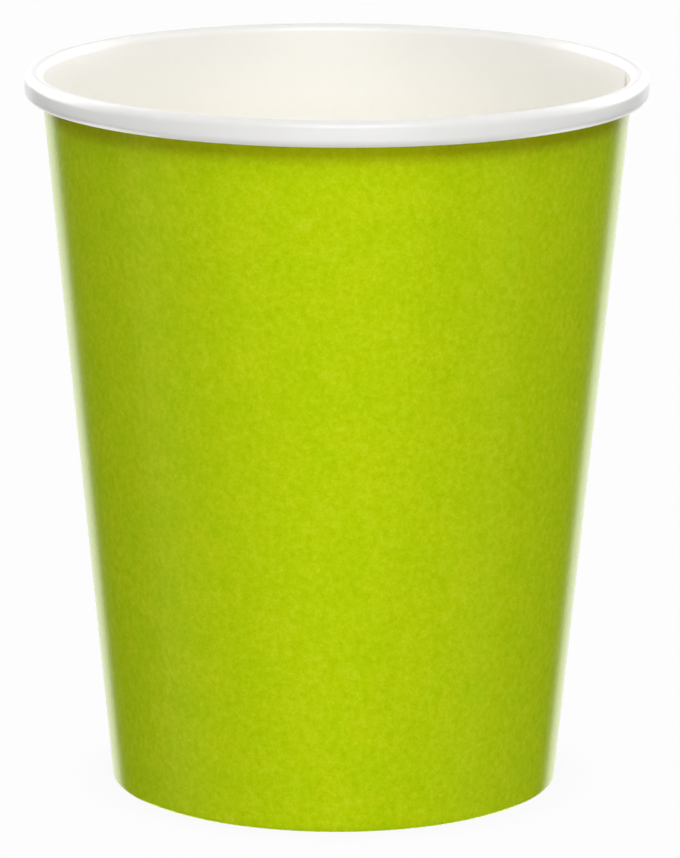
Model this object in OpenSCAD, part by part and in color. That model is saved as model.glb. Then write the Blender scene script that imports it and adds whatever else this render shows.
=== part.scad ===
// Paper cup: a lapped conical wall with a rolled rim and a hemmed foot, closed by a recessed base

/* [Cup] */
// Height from the table to the top of the rim
cup_h = 93.2; // [70:0.1:130]
// Outside diameter of the rolled rim
rim_d = 80; // [74:0.1:96]
// Outside diameter of the wall at the table
foot_d = 57.7; // [48:0.1:64]

/* [Board] */
// Thickness of the side wall's board
board = 0.35; // [0.25:0.01:0.45]
// Thickness of the base's board
base_board = 0.3; // [0.2:0.01:0.4]
// Glue line between two boards
glue = 0.05; // [0.02:0.01:0.1]

/* [Rolled rim] */
// Width of the roll, from the inside of the wall to the outside of the rim
roll_w = 2.42; // [2:0.01:3]
// Height of the roll
roll_h = 3.35; // [2.8:0.05:4.5]
// Clearance between the turns of the roll
roll_gap = 0.15; // [0.05:0.01:0.2]
// Angle below the horizontal at which the inner turn of the roll ends
roll_end = 40; // [0:5:60]

/* [Side seam] */
// Width of the lap at mid height
lap_w = 8; // [5:0.5:12]
// Width over which the outer end of the board climbs onto the inner end
climb_w = 3; // [2:0.1:5]
// Direction of the lap's middle seen from above, with the front of the cup at 270
lap_turn = 15; // [0:5:355]

/* [Foot] */
// Height of the base's underside above the table
recess = 8; // [5:0.1:14]
// Distance from the hem's edge up to the base's underside
hem_gap = 1.2; // [0.8:0.1:3]
// Radius inside each corner of the foot's fold
fold_r = 0.1; // [0.05:0.01:0.12]
// Distance from the foot's fold up to the edge of the base's skirt
skirt_gap = 0.3; // [0.2:0.05:1]
// Radius inside the bend from the base to its skirt
bend_r = 0.3; // [0.1:0.05:0.6]

/* [Hidden] */
$fn = 120;
lime = [0.70, 0.82, 0.04];
white = [0.96, 0.95, 0.91];

// Angle between neighbouring points of a rounded stretch
arc_step = 15;
rim_r = rim_d / 2;
foot_r = foot_d / 2;

// Roll: radius of the white face round the top, and the point that it turns about
top_r = roll_w / 2;
top_c = [rim_r - top_r, cup_h - top_r];

// Lean of the wall from the vertical, with its printed face running into the roll without a kink
top_run = [top_c[0] - foot_r, top_c[1]];
lean = atan2(top_run[0], top_run[1]) - asin((top_r - board) / norm(top_run));

// Roll: the turn at its bottom, which brings the board back up beside the wall, and the inner turn
roll_z = cup_h - roll_h;
low_room = (rim_r - foot_r) * cos(lean) - roll_z * sin(lean) - roll_gap;
low_r = low_room / (1 + cos(lean) + sin(lean));
low_c = [rim_r - low_r, roll_z + low_r];
inner_r = top_r - board - roll_gap;

// Foot: the slot between wall and hem holds the base's skirt with glue on both its faces
slot = base_board + 2 * glue;
fold_z = board + fold_r;
hem_z = recess - hem_gap;

// Base: height of its upper face, and the outer radius of the bend to its skirt
base_z = recess + base_board;
turn_r = bend_r + base_board;

// Seam: the lap runs from above the fold up to where the roll closes on it
mid_r = foot_r + cup_h / 2 * tan(lean);
lap_low = 2 * fold_z;
lap_high = low_c[1] - cos(lean) * sqrt(board * (2 * low_r + 2 * roll_gap - board));
lap_angle = deg(lap_w / mid_r);
climb_angle = deg(climb_w / mid_r);
climb_turn = lap_turn - (lap_angle + climb_angle) / 2;

function deg(a) = a * 180 / PI;

// Point at height z that lies d behind the wall's printed face
function behind_print(d, z) = [foot_r + z * tan(lean) - d / cos(lean), z];

// A station is a point of a board's inner face and the direction in which the board's thickness lies
function station(p, a) = [p[0], p[1], a];

// Stations round the point c, with the board's thickness outwards or inwards
function arc(c, r, a0, a1, inwards) =
    let (n = ceil(abs(a1 - a0) / arc_step))
    [for (i = [0 : n])
        let (a = a0 + (a1 - a0) * i / n)
        station(c + r * [cos(a), sin(a)], inwards ? a + 180 : a)];

// Point that lies d into the board from a station
function into(s, d) = [s[0] + d * cos(s[2]), s[1] + d * sin(s[2])];

// Section of a board along a row of stations, from depth d0 to depth d1
module board_section(row, d0, d1) {
    near = [for (s = row) into(s, d0)];
    far = [for (i = [len(row) - 1 : -1 : 0]) into(row[i], d1)];
    polygon(concat(near, far));
}

// White face of the wall's board, from the hem's edge round the fold, up the wall and round the roll
wall_row = concat(
    [station(behind_print(board + slot, hem_z), 180 - lean)],
    arc(behind_print(board + slot - fold_r, fold_z), fold_r, -180 - lean, -90, false),
    arc(behind_print(board + fold_r, fold_z), fold_r, -90, -lean, false),
    arc(top_c, top_r, 180 - lean, 0, true),
    arc(low_c, low_r, 0, -180 - lean, true),
    arc(top_c, inner_r, 180 - lean, -roll_end, true));

// White face of the wall's board along the lap
lap_row = [for (z = [lap_low, lap_high]) station(behind_print(board, z), -lean)];

// Upper face of the base's board, from the axis round the bend and down the skirt
base_row = concat(
    [station([0, base_z], -90)],
    arc(behind_print(board + glue + turn_r, base_z - turn_r), turn_r, 90, -lean, true),
    [station(behind_print(board + glue, board + skirt_gap), 180 - lean)]);

// Places a shape drawn across the climb, x out of the printed face and y round the cup, along the wall
module along_climb()
    rotate(climb_turn)
        translate([foot_r, 0, 0])
            rotate([0, lean, 0])
                translate([0, 0, lap_low / cos(lean)])
                    linear_extrude((lap_high - lap_low) / cos(lean))
                        children();

// The board's outer end, lapped onto its inner end, with one square edge and one that climbs
module lap() {
    spare = climb_angle;
    difference() {
        rotate(climb_turn - spare)
            rotate_extrude(angle = spare + climb_angle / 2 + lap_angle, start = 0)
                board_section(lap_row, board / 2, 2 * board);
        along_climb()
            polygon([[-board, -climb_w * 3 / 2], [2 * board, climb_w * 3 / 2], [2 * board, -climb_w * 3 / 2]]);
    }
}

// Hollow inside the cup, where the outer end climbs past the edge of the inner end
module climb_hollow()
    along_climb()
        polygon([[-board * 3 / 2, -climb_w], [0, climb_w / 2], [-board * 3 / 2, climb_w / 2]]);

module side_wall()
    color(lime)
        difference() {
            union() {
                rotate_extrude()
                    board_section(wall_row, 0, board);
                lap();
            }
            climb_hollow();
        }

module base_disc()
    color(white)
        rotate_extrude()
            board_section(base_row, 0, base_board);

side_wall();
base_disc();
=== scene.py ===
from math import asin, atan2, ceil, cos, degrees, hypot, radians, sin, tan

import bmesh
import bpy
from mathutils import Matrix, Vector


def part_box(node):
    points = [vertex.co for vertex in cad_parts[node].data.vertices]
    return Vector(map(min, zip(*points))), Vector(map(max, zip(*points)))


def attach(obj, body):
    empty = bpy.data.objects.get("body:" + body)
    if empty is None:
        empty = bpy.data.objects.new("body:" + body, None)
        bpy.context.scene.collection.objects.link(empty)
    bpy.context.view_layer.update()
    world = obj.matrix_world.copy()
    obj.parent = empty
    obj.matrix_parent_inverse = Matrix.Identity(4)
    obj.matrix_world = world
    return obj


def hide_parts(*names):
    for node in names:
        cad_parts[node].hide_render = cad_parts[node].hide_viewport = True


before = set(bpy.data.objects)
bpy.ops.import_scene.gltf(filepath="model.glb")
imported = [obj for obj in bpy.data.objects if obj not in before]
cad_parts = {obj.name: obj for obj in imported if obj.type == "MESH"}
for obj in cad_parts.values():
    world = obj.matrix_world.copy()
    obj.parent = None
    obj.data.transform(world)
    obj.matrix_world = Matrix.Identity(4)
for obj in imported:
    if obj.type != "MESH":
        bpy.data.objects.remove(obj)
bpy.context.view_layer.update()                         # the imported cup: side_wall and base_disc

mm = 0.001
weld = 0.001 * mm                         # points closer than this are one
rowSlack = 0.01 * mm                      # a vertex this close to a row's height is in the row
smoothAngle = 40                          # degrees, sharper bends stay crisp
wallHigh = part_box("side_wall")[1]
baseLow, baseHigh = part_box("base_disc")
print("frame loaded, cup", round(wallHigh.x * 2 / mm, 1), "mm across and",
      round(wallHigh.z / mm, 1), "mm high")


# material helpers
def newMaterial(name):
    material = bpy.data.materials.new(name)
    material.use_nodes = True
    return material, material.node_tree


def startFinish(name):                    # a material, its nodes, its shader and its coordinates
    material, tree = newMaterial(name)
    coords = addNode(tree, "ShaderNodeTexCoord").outputs["Object"]
    return material, tree, tree.nodes["Principled BSDF"], coords


def addNode(tree, kind, label="", **inputs):
    node = tree.nodes.new(kind)
    node.label = label
    for key, value in inputs.items():
        node.inputs[key].default_value = value
    return node


def addNoise(tree, coords, label, size, detail, roughness=0.5, distortion=0.0):
    noise = addNode(tree, "ShaderNodeTexNoise", label, Scale=1 / size, Detail=detail,
                    Roughness=roughness, Distortion=distortion)
    tree.links.new(coords, noise.inputs["Vector"])
    return noise.outputs["Fac"]


def addMath(tree, operation, first, second):
    node = tree.nodes.new("ShaderNodeMath")
    node.operation = operation
    for slot, value in zip(node.inputs, (first, second)):
        if isinstance(value, (int, float)):
            slot.default_value = value
        else:
            tree.links.new(value, slot)
    return node.outputs[0]


def addBlend(tree, first, second, share): # the first one's share, the rest from the second
    return addMath(tree, "ADD", addMath(tree, "MULTIPLY", first, share),
                   addMath(tree, "MULTIPLY", second, 1 - share))


def addSpread(tree, value, ends):         # stretches a noise between two ends
    spread = addNode(tree, "ShaderNodeMapRange", "spread")
    spread.inputs["To Min"].default_value, spread.inputs["To Max"].default_value = ends
    tree.links.new(value, spread.inputs["Value"])
    return spread.outputs["Result"]


def addRamp(tree, factor, places, colours):
    ramp = tree.nodes.new("ShaderNodeValToRGB")
    elements = ramp.color_ramp.elements
    while len(elements) < len(places):
        elements.new(0.5)
    for element, place, colour in zip(elements, places, colours):
        element.position = place
        element.color = (*colour, 1)
    tree.links.new(factor, ramp.inputs["Fac"])
    return ramp.outputs["Color"]


def addTint(tree, colour, tint):
    mix = tree.nodes.new("ShaderNodeMix")
    mix.data_type = "RGBA"
    mix.blend_type = "MULTIPLY"
    mix.inputs["Factor"].default_value = 1.0
    tree.links.new(colour, mix.inputs["A"])
    tree.links.new(tint, mix.inputs["B"])
    return mix.outputs["Result"]


def heightOf(tree, coords):
    split = tree.nodes.new("ShaderNodeSeparateXYZ")
    tree.links.new(coords, split.inputs[0])
    return split.outputs["Z"]


def reachOf(tree, coords):                # distance out from the cup's axis
    flat = addNode(tree, "ShaderNodeVectorMath", "flat")
    flat.operation = "MULTIPLY"
    flat.inputs[1].default_value = (1, 1, 0)
    tree.links.new(coords, flat.inputs[0])
    reach = addNode(tree, "ShaderNodeVectorMath", "reach")
    reach.operation = "LENGTH"
    tree.links.new(flat.outputs["Vector"], reach.inputs[0])
    return reach.outputs["Value"]


def addRise(tree, measure, ends, tint):   # a tint that comes in between two values of the measure
    rise = addNode(tree, "ShaderNodeMapRange", "rise")
    rise.inputs["From Min"].default_value, rise.inputs["From Max"].default_value = ends
    tree.links.new(measure, rise.inputs["Value"])
    return addRamp(tree, rise.outputs["Result"], (0, 1), ((1, 1, 1), tint))


def addBump(tree, height, strength, distance):
    bump = addNode(tree, "ShaderNodeBump", "paper tooth", Strength=strength, Distance=distance)
    tree.links.new(height, bump.inputs["Height"])
    return bump.outputs["Normal"]


# board finishes
limePrint = {
    "deep": (0.376, 0.537, 0.0000),       # ink lying thick
    "middle": (0.458, 0.618, 0.0015),
    "thin": (0.543, 0.694, 0.0165),       # board glowing through the ink
    "stops": (0.31, 0.50, 0.69),          # where the three lie in the grain
    "coolPatch": (0.945, 0.990, 0.70),    # the ink's yellow drifts from patch to patch
    "warmPatch": (1.055, 1.010, 1.30),
    "patchStops": (0.32, 0.68),
    "cloud": (4.5 * mm, 3),               # noises: size, detail, roughness, distortion
    "blotch": (0.9 * mm, 3, 0.6),
    "fibre": (0.24 * mm, 3, 0.6, 0.6),
    "blotchShare": 0.55,                  # of the grain, the rest is fibre
    "toothShare": 0.6,                    # the same for the tooth
    "tooth": (0.35, 0.02 * mm),           # strength and depth
    "paintedShadeUnderRoll": (0.80, 0.68, 0.60),      # painted shade: the print is darker and browner close under the roll
    "paintedShadeUnderRollFrom": (87.0 * mm, 88.6 * mm),
    "roughness": (0.20, 0.25),
    "ior": 1.70,
    "glossTint": (0.82, 0.92, 0.02),      # the ink colours the gloss, except at a glancing angle
}


def makeLimePrint(p):
    material, tree, shader, coords = startFinish("limePrint")
    cloud = addNoise(tree, coords, "cloudy formation", *p["cloud"])
    blotch = addNoise(tree, coords, "ink mottle", *p["blotch"])
    fibre = addNoise(tree, coords, "fibre grain", *p["fibre"])
    grain = addBlend(tree, blotch, fibre, p["blotchShare"])
    ink = addRamp(tree, grain, p["stops"], (p["deep"], p["middle"], p["thin"]))
    warmth = addRamp(tree, cloud, p["patchStops"], (p["coolPatch"], p["warmPatch"]))
    # painted shade under the roll, brought in by height
    underRollShade = addRise(tree, heightOf(tree, coords), p["paintedShadeUnderRollFrom"], p["paintedShadeUnderRoll"])
    tree.links.new(addTint(tree, addTint(tree, ink, warmth), underRollShade), shader.inputs["Base Color"])
    tree.links.new(addSpread(tree, blotch, p["roughness"]), shader.inputs["Roughness"])
    tooth = addBlend(tree, blotch, fibre, p["toothShare"])
    tree.links.new(addBump(tree, tooth, *p["tooth"]), shader.inputs["Normal"])
    shader.inputs["IOR"].default_value = p["ior"]
    shader.inputs["Specular Tint"].default_value = (*p["glossTint"], 1)
    return material


whiteFace = {
    "shade": (0.940, 0.919, 0.855),
    "middle": (0.947, 0.926, 0.864),
    "light": (0.953, 0.933, 0.873),
    "stops": (0.30, 0.50, 0.70),
    "cloud": (2.0 * mm, 2),
    "fibre": (0.60 * mm, 1, 0.5),
    "cloudShare": 0.5,
    "tooth": (0.12, 0.02 * mm),
    "rollPaintedShade": (0.880, 0.894, 0.936),    # painted shade: the roll is darker and a little less creamy than the rest of the white face
    "rollPaintedShadeFrom": (36.8 * mm, 38.3 * mm),   # radii that the painted shade comes in between
    "roughness": (0.29, 0.34),
    "ior": 1.46,
}


def makeWhiteFace(p):
    material, tree, shader, coords = startFinish("whiteFace")
    cloud = addNoise(tree, coords, "cloudy formation", *p["cloud"])
    fibre = addNoise(tree, coords, "fibre grain", *p["fibre"])
    mottle = addBlend(tree, cloud, fibre, p["cloudShare"])
    colour = addRamp(tree, mottle, p["stops"], (p["shade"], p["middle"], p["light"]))
    # painted shade on the roll, brought in by the distance from the axis
    tint = addRise(tree, reachOf(tree, coords), p["rollPaintedShadeFrom"], p["rollPaintedShade"])
    tree.links.new(addTint(tree, colour, tint), shader.inputs["Base Color"])
    tree.links.new(addSpread(tree, cloud, p["roughness"]), shader.inputs["Roughness"])
    tree.links.new(addBump(tree, fibre, *p["tooth"]), shader.inputs["Normal"])
    shader.inputs["IOR"].default_value = p["ior"]
    return material


rawEdge = {
    "pulp": (0.760, 0.700, 0.560),
    "fluff": (0.900, 0.870, 0.790),
    "stops": (0.35, 0.62),
    "fibre": (0.12 * mm, 4, 0.7),
    "tooth": (0.6, 0.04 * mm),
    "roughness": 0.85,
}


def makeRawEdge(p):
    material, tree, shader, coords = startFinish("rawEdge")
    fibre = addNoise(tree, coords, "cut fibres", *p["fibre"])
    colour = addRamp(tree, fibre, p["stops"], (p["pulp"], p["fluff"]))
    tree.links.new(colour, shader.inputs["Base Color"])
    tree.links.new(addBump(tree, fibre, *p["tooth"]), shader.inputs["Normal"])
    shader.inputs["Roughness"].default_value = p["roughness"]
    return material


# modelling helpers
def arcPoints(centre, radius, fromAngle, toAngle, step):
    count = ceil(abs(toAngle - fromAngle) / step)
    points = []
    for i in range(count + 1):
        angle = radians(fromAngle + (toAngle - fromAngle) * i / count)
        points.append((centre[0] + radius * cos(angle), centre[1] + radius * sin(angle)))
    return points


def ringStack(name, rows, columns):       # a circle, extruded and scaled up the section ring by ring
    bpy.ops.object.select_all(action="DESELECT")
    radius, height = rows[0]
    bpy.ops.mesh.primitive_circle_add(vertices=columns, radius=radius)
    piece = bpy.context.object
    piece.name = name
    piece.data.name = name
    bpy.ops.object.mode_set(mode="EDIT")
    bpy.ops.mesh.select_all(action="SELECT")
    bpy.ops.transform.translate(value=(0, 0, height))
    for newRadius, newHeight in rows[1:]:
        bpy.ops.mesh.extrude_edges_move(TRANSFORM_OT_translate={"value": (0, 0, newHeight - height)})
        grow = newRadius / radius
        bpy.ops.transform.resize(value=(grow, grow, 1), center_override=(0, 0, newHeight))
        radius, height = newRadius, newHeight
    bpy.ops.object.mode_set(mode="OBJECT")
    return piece


def selectVerts(piece, test):             # in edit mode: picks the vertices that pass the test
    bpy.ops.mesh.select_mode(type="VERT")
    bpy.ops.mesh.select_all(action="DESELECT")
    mesh = bmesh.from_edit_mesh(piece.data)
    for vert in mesh.verts:
        vert.select = test(vert)
    mesh.select_flush(True)
    bmesh.update_edit_mesh(piece.data)


def columnOf(point):                      # whole degrees round from +X
    return round(degrees(atan2(point.y, point.x))) % 360


def giveThickness(piece, thickness, materials):   # the materials of first face, second face and cut edge
    for material in materials:
        piece.data.materials.append(material)
    solid = piece.modifiers.new("boardThickness", "SOLIDIFY")
    solid.thickness = thickness
    solid.offset = -1
    solid.use_even_offset = True
    solid.material_offset = 1
    solid.material_offset_rim = 2
    bpy.ops.object.modifier_apply(modifier=solid.name)


def pointFaces(piece, test, direction):   # turns the sheet over if a face that passes looks the wrong way
    face = next(f for f in piece.data.polygons if test(f.center))
    if face.normal.dot(direction(face.center)) < 0:
        bpy.ops.object.mode_set(mode="EDIT")
        bpy.ops.mesh.select_all(action="SELECT")
        bpy.ops.mesh.flip_normals()
        bpy.ops.object.mode_set(mode="OBJECT")


# side wall: one blank of board, hemmed at the foot, lapped at the side and rolled at the rim
sideWall = {
    "rimRadius": wallHigh.x,              # outside of the roll
    "height": wallHigh.z,
    "footRadius": 28.85 * mm,             # printed face at the table
    "board": 0.35 * mm,
    "rollWidth": 2.42 * mm,
    "rollHeight": 3.35 * mm,
    "rollGap": 0.15 * mm,                 # between the turns of the roll
    "rollEnd": -40,                       # degrees, where the inner turn stops
    "slot": 0.40 * mm,                    # between wall and hem, for the skirt of the base
    "foldRadius": 0.10 * mm,
    "hemHeight": 6.8 * mm,
    "knurlRows": (6.0 * mm, 1.4 * mm),    # the hem is pressed into ribs between these heights
    "knurlDepth": 0.07 * mm,
    "knurlEvery": 2,                      # degrees from rib to rib
    "columns": 360,                       # one to a degree
    "wallRows": 16,
    "rollStep": 10,                       # degrees between the rings of the roll
    "foldStep": 20,
    "climbFrom": 3,                       # degrees from +X: the outer end starts to climb here
    "lapFrom": 8,                         # and lies on the inner end from here
    "lapTo": 22,                          # to its cut edge
    "lapGlue": 0.02 * mm,
    "lapEnds": (0.9 * mm, 90.0 * mm),     # heights that the lap runs between
    "wallSlack": 0.05 * mm,               # a vertex this close to the white face is on the wall
    "midWall": (40 * mm, 60 * mm),        # heights where the white face is looked up
}


def sideWallSection(s):                   # rings of the white face, from the hem's edge to the roll's end
    topRadius = s["rollWidth"] / 2
    top = (s["rimRadius"] - topRadius, s["height"] - topRadius)
    run = (top[0] - s["footRadius"], top[1])
    lean = atan2(run[0], run[1]) - asin((topRadius - s["board"]) / hypot(*run))
    rollLow = s["height"] - s["rollHeight"]
    room = (s["rimRadius"] - s["footRadius"]) * cos(lean) - rollLow * sin(lean) - s["rollGap"]
    lowRadius = room / (1 + cos(lean) + sin(lean))
    low = (s["rimRadius"] - lowRadius, rollLow + lowRadius)
    tilt = degrees(lean)

    def behindPrint(depth, z):            # ring that lies that deep behind the printed face
        return s["footRadius"] + z * tan(lean) - depth / cos(lean), z

    foldHeight = s["board"] + s["foldRadius"]
    hemDepth = s["board"] + s["slot"]
    rows = [behindPrint(hemDepth, s["hemHeight"])]
    rows += [behindPrint(hemDepth, z) for z in s["knurlRows"]]
    foldIn = behindPrint(hemDepth - s["foldRadius"], foldHeight)
    foldOut = behindPrint(s["board"] + s["foldRadius"], foldHeight)
    rows += arcPoints(foldIn, s["foldRadius"], -180 - tilt, -90, s["foldStep"])
    rows += arcPoints(foldOut, s["foldRadius"], -90, -tilt, s["foldStep"])
    lapLow, lapHigh = s["lapEnds"]
    climb = (lapHigh - lapLow) / s["wallRows"]
    rows += [behindPrint(s["board"], lapLow + i * climb) for i in range(s["wallRows"] + 1)]
    rows += arcPoints(top, topRadius, 180 - tilt, 0, s["rollStep"])
    rows += arcPoints(low, lowRadius, 0, -180 - tilt, s["rollStep"])
    rows += arcPoints(top, topRadius - s["board"] - s["rollGap"], 180 - tilt, s["rollEnd"], s["rollStep"])
    return rows, behindPrint


def lapSideSeam(piece, s, behindPrint):   # slits the wall and carries one side of the slit over the other
    lapLow, lapHigh = s["lapEnds"]
    near = s["wallSlack"]
    lift = s["board"] + s["lapGlue"]

    def onWall(vert):                     # on the white face of the wall, not on the hem or the roll
        return abs(hypot(vert.co.x, vert.co.y) - behindPrint(s["board"], vert.co.z)[0]) < near

    def inLap(vert):
        return lapLow - near < vert.co.z < lapHigh + near and onWall(vert)

    def onClimbSide(vert):
        middles = [f.calc_center_median() for f in vert.link_faces]
        return all(degrees(atan2(m.y, m.x)) < s["lapFrom"] for m in middles)

    bpy.ops.object.mode_set(mode="EDIT")
    selectVerts(piece, lambda v: columnOf(v.co) == s["lapFrom"] and onWall(v))
    bpy.ops.mesh.edge_split(type="EDGE")
    for column in range(s["climbFrom"] + 1, s["lapFrom"] + 1):
        part = (column - s["climbFrom"]) / (s["lapFrom"] - s["climbFrom"])
        out = lift * part * part * (3 - 2 * part)     # eases in and out
        selectVerts(piece, lambda v: columnOf(v.co) == column and inLap(v)
                    and (column < s["lapFrom"] or onClimbSide(v)))
        bpy.ops.transform.translate(value=(out * cos(radians(column)), out * sin(radians(column)), 0))
    width = s["lapTo"] - s["lapFrom"]
    bpy.ops.mesh.spin(steps=width, angle=radians(-width), center=(0, 0, 0), axis=(0, 0, 1))
    bpy.ops.object.mode_set(mode="OBJECT")


def makeSideWall(s):
    rows, behindPrint = sideWallSection(s)
    piece = ringStack("sideWall", rows, s["columns"])
    bpy.ops.object.mode_set(mode="EDIT")
    bpy.ops.mesh.select_all(action="SELECT")
    bpy.ops.mesh.remove_doubles(threshold=weld)
    bpy.ops.mesh.normals_make_consistent(inside=False)
    hemDepth = s["board"] + s["slot"]
    ribLow, ribHigh = min(s["knurlRows"]) - rowSlack, max(s["knurlRows"]) + rowSlack
    selectVerts(piece, lambda v: ribLow < v.co.z < ribHigh and columnOf(v.co) % s["knurlEvery"] == 0
                and hypot(v.co.x, v.co.y) < behindPrint(hemDepth - s["slot"] / 2, v.co.z)[0])
    squeeze = 1 - s["knurlDepth"] / s["footRadius"]
    bpy.ops.transform.resize(value=(squeeze, squeeze, 1), center_override=(0, 0, 0))
    bpy.ops.object.mode_set(mode="OBJECT")
    lapSideSeam(piece, s, behindPrint)
    midLow, midHigh = s["midWall"]
    pointFaces(piece, lambda c: midLow < c.z < midHigh and c.y < 0, lambda c: -c.xyz.normalized())
    finishes = [makeWhiteFace(whiteFace), makeLimePrint(limePrint), makeRawEdge(rawEdge)]
    giveThickness(piece, s["board"], finishes)
    bpy.ops.object.shade_smooth_by_angle(angle=radians(smoothAngle))
    return piece


wallPiece = makeSideWall(sideWall)
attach(wallPiece, "root")
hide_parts("side_wall")
print("side wall made,", len(wallPiece.data.polygons), "faces")


# base: a round of board with its edge turned down into a skirt, held between wall and hem
baseBoard = {
    "pulp": (0.800, 0.775, 0.700),
    "middle": (0.850, 0.832, 0.775),
    "fluff": (0.890, 0.876, 0.830),
    "stops": (0.34, 0.50, 0.66),
    "cloud": (3.0 * mm, 3),
    "fibre": (0.30 * mm, 5, 0.65, 0.8),
    "cloudShare": 0.45,
    "tooth": (0.5, 0.03 * mm),
    "roughness": 0.72,
}


def makeBaseBoard(p):
    material, tree, shader, coords = startFinish("baseBoard")
    cloud = addNoise(tree, coords, "cloudy formation", *p["cloud"])
    fibre = addNoise(tree, coords, "fibre grain", *p["fibre"])
    mottle = addBlend(tree, cloud, fibre, p["cloudShare"])
    colour = addRamp(tree, mottle, p["stops"], (p["pulp"], p["middle"], p["fluff"]))
    tree.links.new(colour, shader.inputs["Base Color"])
    tree.links.new(addBump(tree, fibre, *p["tooth"]), shader.inputs["Normal"])
    shader.inputs["Roughness"].default_value = p["roughness"]
    return material


baseDisc = {
    "height": baseHigh.z,                 # upper face
    "skirtLow": baseLow.z,                # edge of the skirt
    "skirtDepth": 0.40 * mm,              # outside of the skirt, behind the printed face of the wall
    "board": 0.30 * mm,
    "bend": 0.60 * mm,                    # outside radius of the turned edge
    "bendStep": 12,
    "pleatRow": 7.0 * mm,                 # height where the gathered edge shows its pleats
    "pleatDepth": 0.04 * mm,
    "pleatEvery": 4,                      # degrees from pleat to pleat
    "sag": 0.15 * mm,                     # the middle hangs this far
    "rings": (26.0, 23.0, 19.0, 14.0, 9.0, 4.0, 0.5),     # mm from the axis
    "closeWithin": 0.6 * mm,              # the ring inside this radius is merged into the middle point
    "flatWithin": 20 * mm,                # radius where the upper face is looked up
    "columns": 180,
}


def baseDiscSection(b, behindPrint):      # rings of the upper face, from the skirt's edge to the middle
    centre = behindPrint(b["skirtDepth"] + b["bend"], b["height"] - b["bend"])
    outward = behindPrint(b["skirtDepth"], centre[1])[0] - behindPrint(b["skirtDepth"], centre[1] - mm)[0]
    tilt = degrees(atan2(outward, mm))
    rows = [behindPrint(b["skirtDepth"], z) for z in (b["skirtLow"], b["pleatRow"])]
    rows += arcPoints(centre, b["bend"], -tilt, 90, b["bendStep"])
    for ring in b["rings"]:
        part = ring * mm / centre[0]
        rows.append((ring * mm, b["height"] - b["sag"] * (1 - part * part)))
    return rows


def makeBaseDisc(b, behindPrint):
    rows = baseDiscSection(b, behindPrint)
    piece = ringStack("baseDisc", rows, b["columns"])
    bpy.ops.object.mode_set(mode="EDIT")
    selectVerts(piece, lambda v: hypot(v.co.x, v.co.y) < b["closeWithin"])
    bpy.ops.mesh.merge(type="CENTER")
    bpy.ops.mesh.select_all(action="SELECT")
    bpy.ops.mesh.normals_make_consistent(inside=False)
    selectVerts(piece, lambda v: abs(v.co.z - b["pleatRow"]) < rowSlack
                and columnOf(v.co) % b["pleatEvery"] == 0)
    pleatRadius = rows[1][0]
    squeeze = 1 - b["pleatDepth"] / pleatRadius
    bpy.ops.transform.resize(value=(squeeze, squeeze, 1), center_override=(0, 0, b["pleatRow"]))
    bpy.ops.object.mode_set(mode="OBJECT")
    pointFaces(piece, lambda c: hypot(c.x, c.y) < b["flatWithin"], lambda c: Vector((0, 0, 1)))
    coated, cutEdge = bpy.data.materials["whiteFace"], bpy.data.materials["rawEdge"]
    giveThickness(piece, b["board"], [coated, makeBaseBoard(baseBoard), cutEdge])
    bpy.ops.object.shade_smooth_by_angle(angle=radians(smoothAngle))
    return piece


basePiece = makeBaseDisc(baseDisc, sideWallSection(sideWall)[1])
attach(basePiece, "root")
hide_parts("base_disc")
print("base made,", len(basePiece.data.polygons), "faces")


# studio
studio = {
    "camera": (0.0, -0.808371, 0.224268),
    "tilt": 12.433,                       # degrees below the horizon
    "roll": 0.279,
    "lens": 267.9,
    "sensor": 36,                         # mm along the frame's long side
    "shift": (0.0056, 0.0),
    "floorSize": 12.0,
    "floorWhite": 0.982,
    "paintedContactShadow": 0.06,                      # painted contact shadow: how much the floor darkens right at the foot
    "paintedContactShadowReach": 0.006,
    "air": 0.275,                         # light from all round
    "lightDistance": 2.2,
    "lightPower": 4,                      # watts on a square metre of card that give a radiance of 1
    "aim": (0, 0, 0.05),
}

softboxes = {                             # degrees round from the camera and up, width, height, radiance
    "keyLight": (6, 49, 1.3, 1.3, 4.7),
    "frontFill": (4, 3, 1.8, 1.3, 1.28),
    "sideRight": (140, 22, 1.9, 1.5, 2.8),
    "sideLeft": (-140, 22, 1.9, 1.5, 3.15),
    "floorGlow": (0, -88, 2.2, 2.2, 1.75),    # light back from the table, without gloss
}

glossCards = {                            # the same for cards that only show in the gloss
    "backCard": (180, -8, 2.65, 1.9, 1.05),   # the pale bands at both outlines
    "middleCard": (-5, -14, 3.56, 1.2, 0.85), # the satin sheen on the print, with the next two
    "leftCard": (-69, -14, 1.86, 1.2, 0.34),
    "rightCard": (57, -14, 1.81, 1.2, 0.34),
    "rimRight": (115, 9, 1.5, 1.0, 2.2),      # the face of the roll towards its two ends
    "rimLeft": (-115, 9, 1.5, 1.0, 2.2),
    "lowRight": (140, -45, 2.2, 0.85, 2.4),   # the bright line along the roll's lower edge
    "lowLeft": (-140, -45, 2.2, 0.85, 2.4),
}


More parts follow.
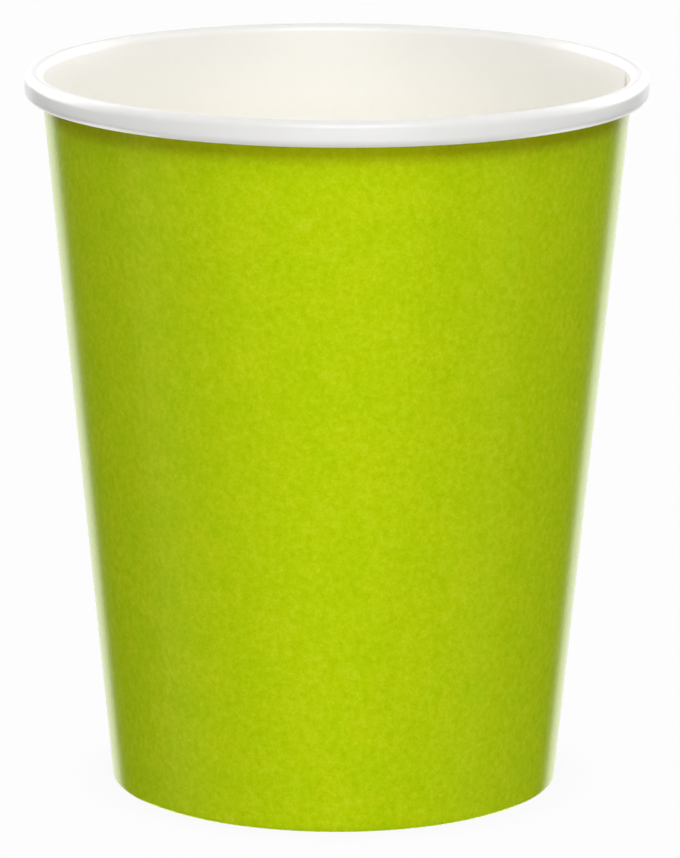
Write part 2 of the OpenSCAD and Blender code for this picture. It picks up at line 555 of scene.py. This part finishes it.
def makeFloor(s):
    bpy.ops.object.select_all(action="DESELECT")
    bpy.ops.mesh.primitive_plane_add(size=s["floorSize"])
    floor = bpy.context.object
    floor.name = "floor"
    material, tree = newMaterial("paleFloor")
    tree.nodes.remove(tree.nodes["Principled BSDF"])
    # painted contact shadow: the occlusion round the foot darkens the floor's glow
    near = addNode(tree, "ShaderNodeAmbientOcclusion", "paintedContactShadow", Distance=s["paintedContactShadowReach"])
    shade = addMath(tree, "MULTIPLY", addMath(tree, "SUBTRACT", 1.0, near.outputs["AO"]), -s["paintedContactShadow"])
    glow = addNode(tree, "ShaderNodeEmission", "lit floor")
    tree.links.new(addMath(tree, "ADD", shade, s["floorWhite"]), glow.inputs["Strength"])
    clear = addNode(tree, "ShaderNodeBsdfTransparent", "seen from below")
    side = addNode(tree, "ShaderNodeNewGeometry")
    mix = addNode(tree, "ShaderNodeMixShader")
    tree.links.new(side.outputs["Backfacing"], mix.inputs[0])
    tree.links.new(glow.outputs[0], mix.inputs[1])
    tree.links.new(clear.outputs[0], mix.inputs[2])
    tree.links.new(mix.outputs[0], tree.nodes["Material Output"].inputs["Surface"])
    floor.data.materials.append(material)
    floor.visible_diffuse = False
    floor.visible_glossy = False
    floor.visible_shadow = False


def makeCamera(s):
    bpy.ops.object.camera_add(location=s["camera"])
    camera = bpy.context.object
    camera.data.lens = s["lens"]
    camera.data.sensor_width = s["sensor"]
    camera.rotation_euler = (radians(90 - s["tilt"]), 0, 0)
    camera.rotation_euler.rotate_axis("Z", radians(s["roll"]))
    camera.data.shift_x, camera.data.shift_y = s["shift"]
    bpy.context.scene.camera = camera


def makeLights(s):
    aim = Vector(s["aim"])
    for name, (azimuth, elevation, width, height, radiance) in {**softboxes, **glossCards}.items():
        a, e = radians(azimuth), radians(elevation)
        away = Vector((sin(a) * cos(e), -cos(a) * cos(e), sin(e)))
        bpy.ops.object.light_add(type="AREA", location=aim + away * s["lightDistance"])
        light = bpy.context.object
        light.name = name
        light.rotation_euler = away.to_track_quat("Z", "Y").to_euler()
        light.data.shape = "RECTANGLE"
        light.data.size, light.data.size_y = width, height
        light.data.energy = radiance * width * height * s["lightPower"]
        light.visible_camera = False
        light.visible_diffuse = name in softboxes
        light.visible_glossy = name != "floorGlow"


def makeAir(s):
    world = bpy.data.worlds.new("studioAir")
    world.use_nodes = True
    tree = world.node_tree
    air = tree.nodes["Background"]
    air.inputs["Strength"].default_value = s["air"]
    white = addNode(tree, "ShaderNodeBackground", "behind the floor", Strength=s["floorWhite"])
    for background in (air, white):
        background.inputs["Color"].default_value = (1, 1, 1, 1)
    path = addNode(tree, "ShaderNodeLightPath")
    mix = addNode(tree, "ShaderNodeMixShader")
    tree.links.new(path.outputs["Is Camera Ray"], mix.inputs[0])
    tree.links.new(air.outputs[0], mix.inputs[1])
    tree.links.new(white.outputs[0], mix.inputs[2])
    tree.links.new(mix.outputs[0], tree.nodes["World Output"].inputs["Surface"])
    bpy.context.scene.world = world
    world.cycles_visibility.glossy = False    # the air gives soft light and no gloss
    bpy.context.scene.view_settings.view_transform = "Standard"     # whites stay white


makeFloor(studio)
makeCamera(studio)
makeLights(studio)
makeAir(studio)
print("studio ready")
